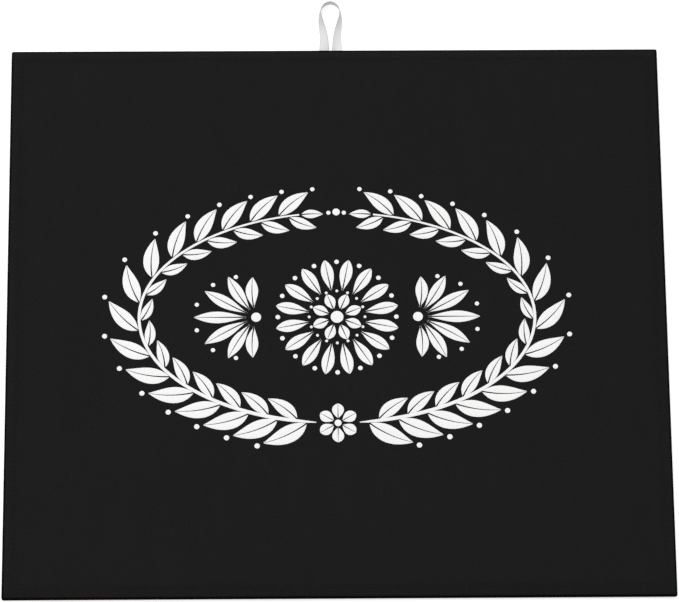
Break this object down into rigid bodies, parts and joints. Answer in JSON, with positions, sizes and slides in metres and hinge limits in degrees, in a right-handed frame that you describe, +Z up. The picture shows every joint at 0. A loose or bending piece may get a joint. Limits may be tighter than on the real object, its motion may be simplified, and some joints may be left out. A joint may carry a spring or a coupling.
{
  "type": "dish drying mat",
  "caption": "Rectangular drying mat of two cloths sewn round a thin sponge sheet, with a rolled edge, a printed face and a ribbon hanging loop.",
  "frame": {"origin": "middle of the underside, where the mat rests", "axes": "+X along the wide side, +Y towards the side with the hanging loop, +Z up out of the printed face"},
  "size_m": [0.4572, 0.4437, 0.0073],
  "materials": {
    "face_fabric": "black short-nap microfibre, matte",
    "back_fabric": "charcoal knitted backing, matte",
    "sponge": "open-cell sponge sheet",
    "ribbon": "light grey woven ribbon, soft sheen",
    "print": "white print in the nap of the face cloth, matte",
    "thread": "black sewing thread"
  },
  "bodies": {
    "root": {"face_cloth": "face_fabric", "back_cloth": "back_fabric", "foam_core": "sponge", "hang_loop": "ribbon"}
  },
  "joints": []
}
